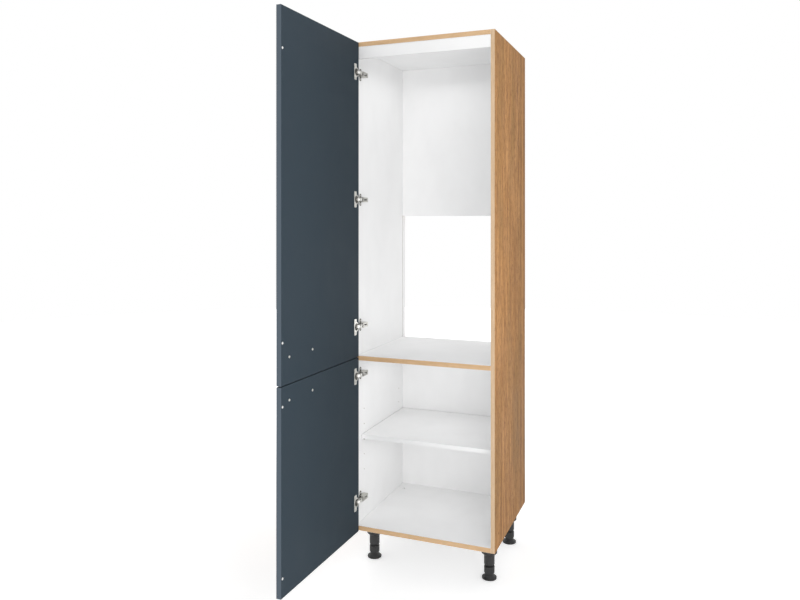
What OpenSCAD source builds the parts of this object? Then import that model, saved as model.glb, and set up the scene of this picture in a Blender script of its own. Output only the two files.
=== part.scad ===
// Fridge housing unit: a tall kitchen cabinet on levelling legs. A fridge stands behind the upper door, and a
// small cupboard with one adjustable shelf lies behind the lower door. Both doors hang on concealed cup hinges.
// X runs from the hinge side to the other side, Y from the front to the back, Z up from the floor.

/* [Carcass] */
// Width over the side panels
carcass_w = 600; // [450:1:800]
// Height of the side panels
carcass_h = 2016; // [1900:1:2300]
// Depth of the side panels
carcass_d = 560; // [520:1:640]
// Thickness of the side panels
side_t = 16; // [15:1:19]
// Thickness of the top panel, the fixed shelf and the bottom panel
panel_t = 19; // [16:1:22]
// Clear height of the lower cupboard
lower_clear_h = 683; // [600:1:800]
// Distance from the rear edge of the fixed shelf to the rear edge of the sides
fixed_shelf_setback = 16; // [10:1:20]
// Height of the rail under the top panel
rail_h = 48; // [30:1:80]
// Thickness of the rail under the top panel
rail_t = 16; // [12:1:19]
// Distance from the front edge of the sides to the rail
rail_setback = 2; // [0:1:20]

/* [Back panels] */
// Thickness of the back panels
back_t = 3; // [2.5:0.5:5]
// Distance from the rear edge of the sides to the front face of the back panels
back_inset = 34; // [30:1:60]
// Depth of the grooves that hold the back panels
groove_deep = 8; // [5:0.5:9]
// Play of a back panel in its groove, over its thickness
groove_play = 0.2; // [0.1:0.1:0.6]
// Height of the open gap at the rear, from the fixed shelf to the upper back panel
rear_gap_h = 579; // [300:1:800]

/* [Adjustable shelf] */
// Thickness of the adjustable shelf
shelf_t = 16; // [16:1:22]
// Distance from the front edge of the sides to the adjustable shelf
shelf_setback = 50; // [20:1:70]
// Play of the adjustable shelf at each side
shelf_side_play = 1; // [0.5:0.5:3]
// Play of the adjustable shelf at the back panel
shelf_back_play = 2; // [1:0.5:5]
// Radius of the shelf pin holes
pin_hole_r = 2.5; // [2.4:0.1:3]
// Depth of the shelf pin holes
pin_hole_deep = 10; // [8:1:12]
// Height of the lowest row of shelf pin holes above the underside of the carcass
pin_row_z = 228; // [150:1:300]
// Height from one row of shelf pin holes to the next
pin_row_step = 64; // [32:32:96]
// Number of rows of shelf pin holes
pin_rows = 5; // [3:1:5]
// Row that holds the shelf, counted from 0
shelf_row = 2; // [0:1:2]
// Distance from the front edge of the sides to the front pin holes
pin_front_y = 77; // [70:1:120]
// Distance from the front pin holes to the rear pin holes
pin_span = 400; // [300:1:410]
// Height of the ledge of a shelf pin above its hole
pin_ledge_h = 9; // [6:0.5:10]
// Length of the ledge out from the side panel
pin_ledge_out = 9; // [6:0.5:12]
// Width of the ledge of a shelf pin
pin_ledge_w = 14; // [10:1:18]

/* [Doors] */
// Thickness of the doors
door_t = 19; // [16:0.5:22]
// Distance from the edge of a door to the outer face of the carcass
reveal = 2; // [1:0.5:3]
// Gap between the upper and the lower door
door_gap = 4; // [3:0.5:6]
// Height of the middle of that gap above the underside of the fixed shelf
door_split_up = 15; // [8:0.5:17]
// Distance that the lower door reaches below the carcass
door_drop = 1; // [0:0.5:5]
// Distance from the top of the upper door to the top of the carcass
door_top_gap = 3; // [1:0.5:5]
// Gap between a closed door and the front edges of the carcass
door_standoff = 2; // [2:0.25:3]
// Rounding of the upright edges of a door
door_edge_r = 1; // [0.5:0.25:2]
// Angle at which the doors stand open
open_angle = 91.5; // [60:0.5:105]

/* [Handles] */
// Distance between the two screws of a handle
handle_span = 160; // [96:32:192]
// Distance from the free edge of a door to the nearer screw
handle_in = 54; // [40:1:80]
// Height of the handle's middle below the top edge of the lower door
lower_handle_drop = 53; // [40:1:120]
// Height of the handle's middle above the bottom edge of the upper door
upper_handle_up = 92; // [40:1:120]
// Distance from the face of a door to the outer face of the handle
handle_out = 28; // [26:1:35]
// Thickness of the handle's bar
handle_bar_t = 7; // [5:0.5:9]
// Height of the handle's bar
handle_bar_h = 12; // [11:0.5:16]
// Length of the bar past each screw
handle_bar_over = 8; // [6:1:20]
// Radius of the handle's posts
handle_post_r = 5; // [4:0.5:5.5]
// Radius of the handle screws
handle_screw_r = 2; // [1.5:0.25:2.5]

/* [Door buffers] */
// Radius of a buffer
buffer_r = 4.5; // [3:0.5:6]
// Distance from the free edge of a door to the middle of a buffer
buffer_in = 9; // [7:0.5:12]
// Distance from the ends of the upper door to its buffers
upper_buffer_end = 146; // [40:1:200]
// Distance from the ends of the lower door to its buffers
lower_buffer_end = 67; // [40:1:200]
// Air between a buffer and the closed carcass
buffer_air = 0.2; // [0.1:0.1:0.5]

/* [Hinges] */
// Distance from the ends of a door to its hinges
hinge_end = 125; // [100:1:160]
// Distance from the top of the lower door to its upper hinge
lower_hinge_top = 73; // [60:1:120]
// Distance from the edge of a door to the middle of a hinge cup
cup_in = 22.5; // [21.5:0.5:24]
// Outer radius of a hinge cup
cup_r = 17.5; // [17.5:0.25:18]
// Inner radius of a hinge cup
cup_bore_r = 15; // [15:0.25:16]
// Depth of a hinge cup in the door
cup_deep = 13; // [13:0.25:14]
// Thickness of the flange of a hinge cup
cup_flange_t = 1.4; // [1:0.1:1.6]
// Distance between the two screws of a hinge cup
cup_screw_span = 45; // [44:0.5:48]
// Distance from the middle of a hinge cup to the line of its screws
cup_screw_back = 9.5; // [8:0.5:10]
// Distance from the front edge of the side panel to the screws of a mounting plate
plate_y = 37; // [35:0.5:40]
// Distance between the two screws of a mounting plate
plate_screw_span = 32; // [30:0.5:36]
// Height of the hinge arm over the side panel
arm_h = 23; // [20:0.5:26]
// Distance from the front edge of the side panel to the rear end of the hinge arm
arm_rear_y = 65; // [60:0.5:72]
// Radius of the hinge pins
pin_r = 1.25; // [1:0.05:1.4]
// Running clearance round the hinge pins
pin_play = 0.05; // [0.03:0.01:0.1]

/* [Legs] */
// Height of the carcass above the floor
foot_h = 150; // [135:1:180]
// Distance from the outer face of a side panel to the legs beside it
leg_side_in = 50; // [45:1:90]
// Distance from the front edge of the carcass to the front legs
leg_front_in = 110; // [60:1:140]
// Distance from the rear edge of the carcass to the rear legs
leg_rear_in = 98; // [80:1:140]
// Radius of the leg head
leg_head_r = 31.5; // [30:0.5:34]
// Height of the straight wall of the leg head
leg_head_h = 47; // [30:1:50]
// Height of the taper under that wall
leg_taper_h = 8; // [5:0.5:12]
// Radius of the leg sleeve
sleeve_r = 21.25; // [20:0.25:24]
// Radius of the screw spindle of a foot
spindle_r = 15.25; // [12:0.25:16.5]
// Radius of the base disc of a foot
foot_r = 29.5; // [25:0.5:35]
// Height of the top of the grip collar above the floor
collar_top = 50; // [46:1:60]
// Free height of the spindle between the collar and the sleeve
spindle_free = 8; // [8:0.5:20]
// Radius of the access bores over the rear legs
access_r = 3.5; // [3:0.25:4]

/* [Hidden] */
$fn = 48;
// Overrun of a cut past the face that it opens
cut = 1;

// Inner width, and the heights of the panels above the underside of the carcass
inner_w = carcass_w - 2 * side_t;
fixed_shelf_z = panel_t + lower_clear_h;
top_panel_z = carcass_h - panel_t;
fixed_shelf_d = carcass_d - fixed_shelf_setback;
back_y = carcass_d - back_inset;
upper_back_z = fixed_shelf_z + panel_t + rear_gap_h;
// Air at the bottom of a groove
groove_air = 0.3;
// Play of a screw in the piece that it holds down, and overlap of two forms that are joined into one
screw_play = 0.3;
weld = 0.5;

// Dowels: 3 to each end of a panel and 1 to each end of the rail
dowel_r = 4;
dowel_len = 34;
dowel_in_side = 11;
dowel_edge = 60;
dowel_fit = 0.05;
dowel_end_air = 0.25;
dowel_taper = 1.5;
dowel_spots = concat(
    [for (y = dowel_rows(carcass_d)) [y, panel_t / 2]],
    [for (y = dowel_rows(fixed_shelf_d)) [y, fixed_shelf_z + panel_t / 2]],
    [for (y = dowel_rows(carcass_d)) [y, top_panel_z + panel_t / 2]],
    [[rail_setback + rail_t / 2, top_panel_z - rail_h / 2]]
);
function dowel_rows(depth) = [dowel_edge, depth / 2, depth - dowel_edge];

// Shelf pins
pin_ys = [pin_front_y, pin_front_y + pin_span];
shelf_pin_z = pin_row_z + shelf_row * pin_row_step;
shelf_z = shelf_pin_z + pin_ledge_h;
pin_fit = 0.05;
pin_end_air = 0.5;
pin_ledge_t = 2.5;
pin_disc_r = 6;
pin_disc_t = 1.5;
pin_web_in = 1;

// Doors, in heights above the underside of the carcass
door_w = carcass_w - 2 * reveal;
door_split_z = fixed_shelf_z + door_split_up;
lower_door_z = -door_drop;
lower_door_h = door_split_z - door_gap / 2 - lower_door_z;
upper_door_z = door_split_z + door_gap / 2;
upper_door_h = carcass_h - door_top_gap - upper_door_z;

// Hinges from the bottom up: 2 on the lower door and 3 on the upper one
lower_hinge_zs = [lower_door_z + hinge_end, lower_door_z + lower_door_h - lower_hinge_top];
upper_hinge_zs = [
    upper_door_z + hinge_end,
    upper_door_z + upper_door_h / 2,
    upper_door_z + upper_door_h - hinge_end
];
hinge_zs = concat(lower_hinge_zs, upper_hinge_zs);

// Linkage seen from above. The corner of a closed door at its hinge edge and inner face is the starting point.
// A cup pin sits inside the door, an inner link joins it to a pin at the tip of the arm, and the link turns by
// link_ratio degrees one way for each degree that the door turns the other way.
closed_corner = [reveal, -door_standoff];
cup_pin = [11.1, -3.6];
arm_pin = closed_corner + [29, 4.5];
link_ratio = 0.51;
cup_pin_closed = closed_corner + cup_pin;
cup_pin_open = arm_pin + turned(cup_pin_closed - arm_pin, link_ratio * open_angle);
door_corner = cup_pin_open - turned(cup_pin, -open_angle);
// The outer link turns on its own arm pin and is free at its cup end.
outer_pin = closed_corner + [35.8, 5.6];
outer_ratio = 0.3;
function turned(p, angle) = [p[0] * cos(angle) - p[1] * sin(angle), p[0] * sin(angle) + p[1] * cos(angle)];

// Links: paths from the arm pin to the cup end, at the closed door, and layers by half height
inner_path = [[0, 0], [-5.5, -14.1], [-15.3, -14.1], cup_pin_closed - arm_pin];
inner_half_w = 2;
inner_half_h = 3.2;
outer_path = [[0, 0], [-4.5, -9.5], [-11.2, -15.4], [-18.1, -15.5]];
outer_half_w = 1.8;
outer_z = 3.5;
outer_t = 1.6;
eye_r = 2.6;
tip_z = 5.4;
tip_t = 1.6;
cheek_z = 8;
cheek_t = 1.5;
web_t = 1.5;
tip_eye_r = 2.8;

// Mounting plate: a spine along the arm and two wings across it
spine_half_w = 7.8;
spine_h = 6;
spine_front_y = 28;
spine_short = 2;
wing_w = 12;
wing_t = 2.2;
wing_end = 9;
plate_screw_r = 2.5;
plate_screw_deep = 11;
plate_head_r = 4.5;
plate_head_h = 1.8;
arm_screw_y = 50;
arm_screw_r = 3;
arm_screw_up = 0.8;
arm_slot = [1.6, 0.9, 5];
// Arm: air over the plate, start of the channel, length of its tip and overhang of the riveted pins
arm_air = 0.4;
neck_y = 18;
tip_len = 10;
tip_wall = 4;
rivet_out = 0.4;
// Window in the arm over its side adjustment
window_y = 28;
window_w = 8;
window_len = 16;
window_r = 2;

// Cup: flange ears, floor and screws
cup_fit = 0.05;
cup_floor_t = 0.6;
cup_flange_r = 19.5;
cup_ear_r = 10.5;
cup_ear_corner_r = 4.5;
cup_screw_r = 1.75;
cup_screw_deep = 12;
cup_head_r = 3.75;
cup_head_h = 1.4;
cup_pin_len = 25;
cross_slot = [1.2, 0.8];
screw_end_air = 0.5;

// Handle screws, their cross slots and the rounding of the handle's bar
thread_fit = 0.05;
handle_head_r = 4.5;
handle_head_h = 2;
handle_thread_in = 10;
handle_end_air = 0.5;
handle_slot = [5, 1.6, 0.9];
handle_bar_r = 2;

// Legs: pegs into the bottom panel, the sleeve's socket, the spindle, the grip collar and the base disc
leg_spots = [
    [leg_side_in, leg_front_in],
    [carcass_w - leg_side_in, leg_front_in],
    [leg_side_in, carcass_d - leg_rear_in],
    [carcass_w - leg_side_in, carcass_d - leg_rear_in]
];
peg_r = 4;
peg_len = 10;
peg_out = 18;
peg_fit = 0.05;
peg_end_air = 0.5;
head_roof_t = 12;
head_lip = 1.5;
head_bore_r = 4;
sleeve_fit = 0.1;
spindle_fit = 0.08;
spindle_in = 47;
sleeve_bottom = collar_top + spindle_free;
collar_h = 27;
collar_r = 21;
grip_count = 18;
grip_r = 2.2;
grip_out = 1.4;
neck_r = 16;
neck_h = 4;
disc_h = 7;
flare_r = 25;
edge_break = 1;
spindle_slot = [12, 1.6, 5];
clip_hole_r = 3;
clip_hole_down = 30;
bush_flange_r = 9.5;
bush_flange_t = 1;
bush_wall = 2;
bush_len = 12;

// Origin: the middle of the whole part's footprint, on the floor. The outermost point at the hinge side is the
// corner of a handle, and at the front it is the rounded free edge of the doors.
handle_corner = door_corner + turned([door_w - handle_in + handle_bar_over, -door_t - handle_out], -open_angle);
edge_round = door_corner + turned([door_w - door_edge_r, -door_edge_r], -open_angle);
origin_x = (handle_corner[0] + carcass_w) / 2;
origin_y = (edge_round[1] - door_edge_r + carcass_d) / 2;

white = [0.91, 0.91, 0.90];
oak = [0.76, 0.62, 0.46];
slate = [0.20, 0.24, 0.28];
steel = [0.72, 0.71, 0.67];
black = [0.09, 0.09, 0.10];

// Places a piece that is drawn from the carcass's front lower left corner
module in_carcass() {
    translate([-origin_x, -origin_y, foot_h]) children();
}

// Places a piece that is drawn from a door's hinge edge and inner face, with the cabinet's side at +Y
module on_door() {
    in_carcass() translate([door_corner[0], door_corner[1], 0]) rotate([0, 0, -open_angle]) children();
}

// A bar along X from x0, with its round section's middle at y and z
module x_rod(r, len, x0, y, z) {
    translate([x0, y, z]) rotate([0, 90, 0]) cylinder(r = r, h = len);
}

// A bar along Y from y0
module y_rod(r, len, x, y0, z) {
    translate([x, y0, z]) rotate([-90, 0, 0]) cylinder(r = r, h = len);
}

// A side panel, drawn as the left one, with its back groove, dowel holes, shelf pin holes and hinge screw holes
module side_panel(hinged) {
    difference() {
        cube([side_t, carcass_d, carcass_h]);
        translate([side_t - groove_deep, back_y - groove_play / 2, -cut])
            cube([groove_deep + cut, back_t + groove_play, carcass_h + 2 * cut]);
        for (spot = dowel_spots)
            x_rod(dowel_r + dowel_fit, dowel_in_side + cut, side_t - dowel_in_side, spot[0], spot[1]);
        for (y = pin_ys, row = [0:pin_rows - 1])
            x_rod(pin_hole_r, pin_hole_deep + cut, side_t - pin_hole_deep, y, pin_row_z + row * pin_row_step);
        if (hinged) {
            for (z = hinge_zs, side = [-1, 1])
                x_rod(plate_screw_r, plate_screw_deep + cut, side_t - plate_screw_deep, plate_y,
                    z + side * plate_screw_span / 2);
        }
    }
}

module side_left() {
    color(oak) in_carcass() side_panel(true);
}

module side_right() {
    color(oak) in_carcass() translate([carcass_w, 0, 0]) mirror([1, 0, 0]) side_panel(false);
}

// Dowel holes in both ends of a panel between the sides, at the places in the list
module end_holes(spots) {
    reach = dowel_len - dowel_in_side + 2 * dowel_end_air;
    for (spot = spots) {
        x_rod(dowel_r + dowel_fit, reach + cut, side_t - cut, spot[0], spot[1]);
        x_rod(dowel_r + dowel_fit, reach + cut, carcass_w - side_t - reach, spot[0], spot[1]);
    }
}

module top_panel() {
    color(white) in_carcass() difference() {
        translate([side_t, 0, top_panel_z]) cube([inner_w, carcass_d, panel_t]);
        translate([side_t - cut, back_y - groove_play / 2, top_panel_z - cut])
            cube([inner_w + 2 * cut, back_t + groove_play, groove_deep + cut]);
        end_holes([for (y = dowel_rows(carcass_d)) [y, top_panel_z + panel_t / 2]]);
    }
}

module fixed_shelf() {
    color(white) in_carcass() difference() {
        translate([side_t, 0, fixed_shelf_z]) cube([inner_w, fixed_shelf_d, panel_t]);
        translate([side_t - cut, back_y - groove_play / 2, fixed_shelf_z - cut])
            cube([inner_w + 2 * cut, back_t + groove_play, groove_deep + cut]);
        end_holes([for (y = dowel_rows(fixed_shelf_d)) [y, fixed_shelf_z + panel_t / 2]]);
    }
}

module bottom_panel() {
    color(white) in_carcass() difference() {
        translate([side_t, 0, 0]) cube([inner_w, carcass_d, panel_t]);
        translate([side_t - cut, back_y - groove_play / 2, panel_t - groove_deep])
            cube([inner_w + 2 * cut, back_t + groove_play, groove_deep + cut]);
        end_holes([for (y = dowel_rows(carcass_d)) [y, panel_t / 2]]);
        for (spot = leg_spots, side = [-1, 1])
            translate([spot[0] + side * peg_out, spot[1], -cut])
                cylinder(r = peg_r + peg_fit, h = peg_len + peg_end_air + cut);
        for (i = [2, 3])
            translate([leg_spots[i][0], leg_spots[i][1], -cut])
                cylinder(r = access_r + bush_wall + peg_fit, h = panel_t + 2 * cut);
    }
}

module front_rail() {
    color(white) in_carcass() difference() {
        translate([side_t, rail_setback, top_panel_z - rail_h]) cube([inner_w, rail_t, rail_h]);
        end_holes([[rail_setback + rail_t / 2, top_panel_z - rail_h / 2]]);
    }
}

// A back panel between two heights, with its edges in the side grooves
module back_panel(z0, z1) {
    reach = groove_deep - groove_air;
    translate([side_t - reach, back_y, z0]) cube([inner_w + 2 * reach, back_t, z1 - z0]);
}

module back_panel_upper() {
    color(white) in_carcass() back_panel(upper_back_z, top_panel_z + groove_deep - groove_air);
}

module back_panel_lower() {
    color(white) in_carcass()
        back_panel(panel_t - groove_deep + groove_air, fixed_shelf_z + groove_deep - groove_air);
}

module adjustable_shelf() {
    color(white) in_carcass()
        translate([side_t + shelf_side_play, shelf_setback, shelf_z])
            cube([inner_w - 2 * shelf_side_play, back_y - shelf_back_play - shelf_setback, shelf_t]);
}

// A shelf pin in the left side: a shank, a round stop against the side and a ledge with a web under it
module shelf_pin(y) {
    shank_in = pin_hole_deep - pin_end_air;
    x_rod(pin_hole_r - pin_fit, shank_in + pin_disc_t, side_t - shank_in, y, shelf_pin_z);
    x_rod(pin_disc_r, pin_disc_t, side_t, y, shelf_pin_z);
    translate([side_t, y - pin_ledge_w / 2, shelf_z - pin_ledge_t])
        cube([pin_ledge_out, pin_ledge_w, pin_ledge_t]);
    translate([0, y + pin_disc_t / 2, 0]) rotate([90, 0, 0]) linear_extrude(pin_disc_t)
        polygon([
            [side_t, shelf_pin_z - pin_disc_r + pin_web_in],
            [side_t + pin_ledge_out, shelf_z - pin_ledge_t],
            [side_t + pin_ledge_out, shelf_z - weld],
            [side_t, shelf_z - weld]
        ]);
}

module shelf_pins() {
    color(steel) in_carcass() for (y = pin_ys) {
        shelf_pin(y);
        translate([carcass_w, 0, 0]) mirror([1, 0, 0]) shelf_pin(y);
    }
}

// A dowel along X with tapered ends
module dowel(x0, spot) {
    translate([x0, spot[0], spot[1]]) rotate([0, 90, 0]) rotate_extrude()
        polygon([[0, 0], [dowel_r - dowel_taper, 0], [dowel_r, dowel_taper], [dowel_r, dowel_len - dowel_taper],
            [dowel_r - dowel_taper, dowel_len], [0, dowel_len]]);
}

module carcass_dowels() {
    color(oak) in_carcass() for (spot = dowel_spots) {
        dowel(side_t - dowel_in_side + dowel_end_air, spot);
        dowel(carcass_w - side_t + dowel_in_side - dowel_len - dowel_end_air, spot);
    }
}

// The bushes that line the access holes over the rear legs
module access_bushes() {
    color(white) in_carcass() for (i = [2, 3])
        translate([leg_spots[i][0], leg_spots[i][1], 0]) difference() {
            union() {
                translate([0, 0, panel_t]) cylinder(r = bush_flange_r, h = bush_flange_t);
                translate([0, 0, panel_t - bush_len]) cylinder(r = access_r + bush_wall, h = bush_len + weld);
            }
            translate([0, 0, panel_t - bush_len - cut]) cylinder(r = access_r, h = bush_len + 3 * cut);
        }
}

// Corner points of a rectangle with rounded corners, counter-clockwise from the lower left
function round_rect(w, d, r) = [
    for (corner = [[r, r, 180], [w - r, r, 270], [w - r, d - r, 0], [r, d - r, 90]], step = [0:4])
        [corner[0] + r * cos(corner[2] + step * 22.5), corner[1] + r * sin(corner[2] + step * 22.5)]
];

// A door with its cup and screw holes. Its heights are measured from the underside of the carcass.
module door(z0, h, hinges, handle_z) {
    difference() {
        translate([0, -door_t, z0]) linear_extrude(h) polygon(round_rect(door_w, door_t, door_edge_r));
        for (z = hinges) {
            y_rod(cup_r, cup_deep + cut, cup_in, -cup_deep, z);
            for (side = [-1, 1])
                y_rod(cup_screw_r, cup_screw_deep + cut, cup_in + cup_screw_back, -cup_screw_deep,
                    z + side * cup_screw_span / 2);
        }
        for (x = handle_xs) y_rod(handle_screw_r + screw_play, door_t + 2 * cut, x, -door_t - cut, handle_z);
    }
}
handle_xs = [door_w - handle_in - handle_span, door_w - handle_in];
upper_handle_z = upper_door_z + upper_handle_up;
lower_handle_z = lower_door_z + lower_door_h - lower_handle_drop;

module upper_door() {
    color(slate) on_door() door(upper_door_z, upper_door_h, upper_hinge_zs, upper_handle_z);
}

module lower_door() {
    color(slate) on_door() door(lower_door_z, lower_door_h, lower_hinge_zs, lower_handle_z);
}

// A bar handle on two posts, on the outer face of a door
module bar_handle(z) {
    bar_y = -door_t - handle_out;
    post_len = handle_out - handle_bar_t / 2;
    thread_len = handle_thread_in + handle_end_air;
    difference() {
        union() {
            translate([handle_xs[0] - handle_bar_over, bar_y, z - handle_bar_h / 2])
                rotate([90, 0, 90]) linear_extrude(handle_span + 2 * handle_bar_over)
                    polygon(round_rect(handle_bar_t, handle_bar_h, handle_bar_r));
            for (x = handle_xs) y_rod(handle_post_r, post_len, x, -door_t - post_len, z);
        }
        for (x = handle_xs)
            y_rod(handle_screw_r + thread_fit, thread_len + cut, x, -door_t - thread_len, z);
    }
}

module upper_handle() {
    color(steel) on_door() bar_handle(upper_handle_z);
}

module lower_handle() {
    color(steel) on_door() bar_handle(lower_handle_z);
}

// The two screws of a handle: domed heads on the inner face, with a cross slot
module handle_screws(z) {
    for (x = handle_xs) difference() {
        union() {
            y_rod(handle_screw_r, door_t + handle_thread_in + weld, x, -door_t - handle_thread_in, z);
            translate([x, 0, z]) rotate([-90, 0, 0])
                cylinder(r1 = handle_head_r, r2 = handle_head_r - 1, h = handle_head_h);
        }
        for (turn = [0, 90])
            translate([x, handle_head_h, z]) rotate([0, turn, 0]) cube(handle_slot, center = true);
    }
}

module upper_handle_screws() {
    color(steel) on_door() handle_screws(upper_handle_z);
}

module lower_handle_screws() {
    color(steel) on_door() handle_screws(lower_handle_z);
}

// Round buffers near the free edge of a door that meet the edge of the side panel
module door_buffers(z0, h, end) {
    buffer_t = door_standoff - buffer_air;
    for (z = [z0 + end, z0 + h - end])
        translate([door_w - buffer_in, 0, z]) rotate([-90, 0, 0])
            union() {
                cylinder(r = buffer_r, h = buffer_t / 2);
                translate([0, 0, buffer_t / 2]) cylinder(r1 = buffer_r, r2 = buffer_r - 1, h = buffer_t / 2);
            }
}

module upper_door_buffers() {
    color(white) on_door() door_buffers(upper_door_z, upper_door_h, upper_buffer_end);
}

module lower_door_buffers() {
    color(white) on_door() door_buffers(lower_door_z, lower_door_h, lower_buffer_end);
}

// A mounting plate on the left side, at the height z
module hinge_plate(z) {
    wing_half = plate_screw_span / 2 + wing_end;
    color(steel) in_carcass() translate([side_t, 0, z]) difference() {
        union() {
            translate([0, spine_front_y, -spine_half_w])
                cube([spine_h, arm_rear_y - spine_short - spine_front_y, 2 * spine_half_w]);
            translate([0, plate_y - wing_w / 2, -wing_half + wing_w / 2])
                cube([wing_t, wing_w, 2 * wing_half - wing_w]);
            for (side = [-1, 1]) x_rod(wing_w / 2, wing_t, 0, plate_y, side * (wing_half - wing_w / 2));
            x_rod(arm_screw_r, arm_h + arm_screw_up, 0, arm_screw_y, 0);
        }
        for (side = [-1, 1])
            x_rod(plate_screw_r + screw_play, wing_t + 2 * cut, -cut, plate_y, side * plate_screw_span / 2);
        for (turn = [0, 90])
            translate([arm_h + arm_screw_up, arm_screw_y, 0]) rotate([turn, 0, 0])
                cube(arm_slot, center = true);
    }
}

// A hinge arm: a channel over the plate whose narrow tip carries the two arm pins
module hinge_arm(z) {
    top_x = side_t + arm_h;
    low_x = side_t + wing_t + arm_air;
    tip_x = top_x - tip_len;
    pin_half = tip_z + tip_t + rivet_out;
    color(steel) in_carcass() translate([0, 0, z]) difference() {
        union() {
            translate([top_x - web_t, neck_y, -cheek_z - cheek_t])
                cube([web_t, arm_rear_y - neck_y, 2 * (cheek_z + cheek_t)]);
            for (side = [-1, 1]) mirror([0, 0, side < 0 ? 1 : 0]) {
                translate([0, 0, cheek_z]) linear_extrude(cheek_t) polygon([
                    [top_x, neck_y], [top_x, arm_rear_y], [low_x, arm_rear_y - 4],
                    [low_x, spine_front_y - 2], [tip_x, neck_y]
                ]);
                translate([0, 0, tip_z]) linear_extrude(cheek_z + cheek_t - tip_z)
                    translate([tip_x, neck_y]) square([tip_len, tip_wall]);
                translate([0, 0, tip_z]) linear_extrude(tip_t) union() {
                    polygon([
                        [arm_pin[0] - tip_eye_r, arm_pin[1]],
                        [arm_pin[0] + 2, arm_pin[1] - 2],
                        [outer_pin[0] + 2, outer_pin[1] - 2],
                        [top_x, neck_y + 1],
                        [tip_x, neck_y + 1]
                    ]);
                    translate(arm_pin) circle(r = tip_eye_r);
                    translate(outer_pin) circle(r = tip_eye_r);
                }
            }
            for (pin = [arm_pin, outer_pin])
                translate([pin[0], pin[1], -pin_half]) cylinder(r = pin_r, h = 2 * pin_half);
        }
        x_rod(arm_screw_r + screw_play, 2 * web_t + cut, top_x - web_t - cut, arm_screw_y, 0);
        translate([top_x - web_t - cut, window_y, window_w / 2]) rotate([0, 90, 0])
            linear_extrude(web_t + 2 * cut) polygon(round_rect(window_w, window_len, window_r));
    }
}

// A flat link along a path from its pin eye, at its place with the door closed
module link_bar(path, half_w, z0, t) {
    translate([0, 0, z0]) linear_extrude(t) union() {
        for (i = [0:len(path) - 2]) {
            step = path[i + 1] - path[i];
            translate(path[i]) rotate(atan2(step[1], step[0])) translate([0, -half_w])
                square([norm(step), 2 * half_w]);
        }
        for (i = [1:len(path) - 1]) translate(path[i]) circle(r = half_w);
    }
}

module inner_link(z) {
    full = 2 * inner_half_h;
    turn = link_ratio * open_angle;
    color(steel) in_carcass() translate([arm_pin[0], arm_pin[1], z]) rotate([0, 0, turn])
        difference() {
            union() {
                link_bar(inner_path, inner_half_w, -inner_half_h, full);
                for (end = [inner_path[0], inner_path[len(inner_path) - 1]])
                    translate([end[0], end[1], -inner_half_h]) cylinder(r = eye_r, h = full);
            }
            for (end = [inner_path[0], inner_path[len(inner_path) - 1]])
                translate([end[0], end[1], -inner_half_h - cut])
                    cylinder(r = pin_r + pin_play, h = full + 2 * cut);
        }
}

// The outer link's two cheeks lie either side of the inner link, and a tube round its pin joins them
module outer_link(z) {
    half = outer_z + outer_t;
    turn = outer_ratio * open_angle;
    color(steel) in_carcass() translate([outer_pin[0], outer_pin[1], z]) rotate([0, 0, turn])
        difference() {
            union() {
                for (z0 = [outer_z, -half]) link_bar(outer_path, outer_half_w, z0, outer_t);
                translate([0, 0, -half]) cylinder(r = eye_r, h = 2 * half);
            }
            translate([0, 0, -half - cut]) cylinder(r = pin_r + pin_play, h = 2 * (half + cut));
        }
}

// A hinge cup in a door: a cup with a flange, two screw ears and the cup pin across it
module hinge_cup(z) {
    color(steel) on_door() translate([cup_in, 0, z]) union() {
        difference() {
            union() {
                y_rod(cup_r - cup_fit, cup_deep - cup_fit + cup_flange_t, 0, -cup_deep + cup_fit, 0);
                translate([0, cup_flange_t, 0]) rotate([90, 0, 0]) linear_extrude(cup_flange_t) union() {
                    circle(r = cup_flange_r);
                    translate([cup_screw_back - cup_ear_r, -cup_screw_span / 2 - cup_ear_r])
                        polygon(round_rect(2 * cup_ear_r, cup_screw_span + 2 * cup_ear_r, cup_ear_corner_r));
                }
            }
            y_rod(cup_bore_r, cup_deep + cup_flange_t, 0, -cup_deep + cup_fit + cup_floor_t, 0);
            for (side = [-1, 1])
                y_rod(cup_screw_r + screw_play, cup_flange_t + 2 * cut, cup_screw_back, -cut,
                    side * cup_screw_span / 2);
        }
        translate([cup_pin[0] - cup_in, cup_pin[1], -cup_pin_len / 2]) cylinder(r = pin_r, h = cup_pin_len);
    }
}

// Flat screw with a domed head, drawn along +Y with the head's seat at y = 0 and the shank below it
module wood_screw(shank_r, shank_len, head_r, head_h) {
    difference() {
        union() {
            y_rod(shank_r, shank_len + weld, 0, -shank_len, 0);
            rotate([-90, 0, 0]) cylinder(r1 = head_r, r2 = head_r * 0.7, h = head_h);
        }
        for (turn = [0, 90])
            translate([0, head_h, 0]) rotate([0, turn, 0])
                cube([head_r, cross_slot[0], cross_slot[1]], center = true);
    }
}

module plate_screws() {
    color(steel) in_carcass() for (z = hinge_zs, side = [-1, 1])
        translate([side_t + wing_t, plate_y, z + side * plate_screw_span / 2]) rotate([0, 0, -90])
            wood_screw(plate_screw_r - thread_fit, plate_screw_deep + wing_t - screw_end_air, plate_head_r,
                plate_head_h);
}

// The screws of the hinge cups of one door
module cup_screws(hinges) {
    for (z = hinges, side = [-1, 1])
        translate([cup_in + cup_screw_back, cup_flange_t, z + side * cup_screw_span / 2])
            wood_screw(cup_screw_r - thread_fit, cup_screw_deep + cup_flange_t - screw_end_air, cup_head_r,
                cup_head_h);
}

module upper_cup_screws() {
    color(steel) on_door() cup_screws(upper_hinge_zs);
}

module lower_cup_screws() {
    color(steel) on_door() cup_screws(lower_hinge_zs);
}

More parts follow.
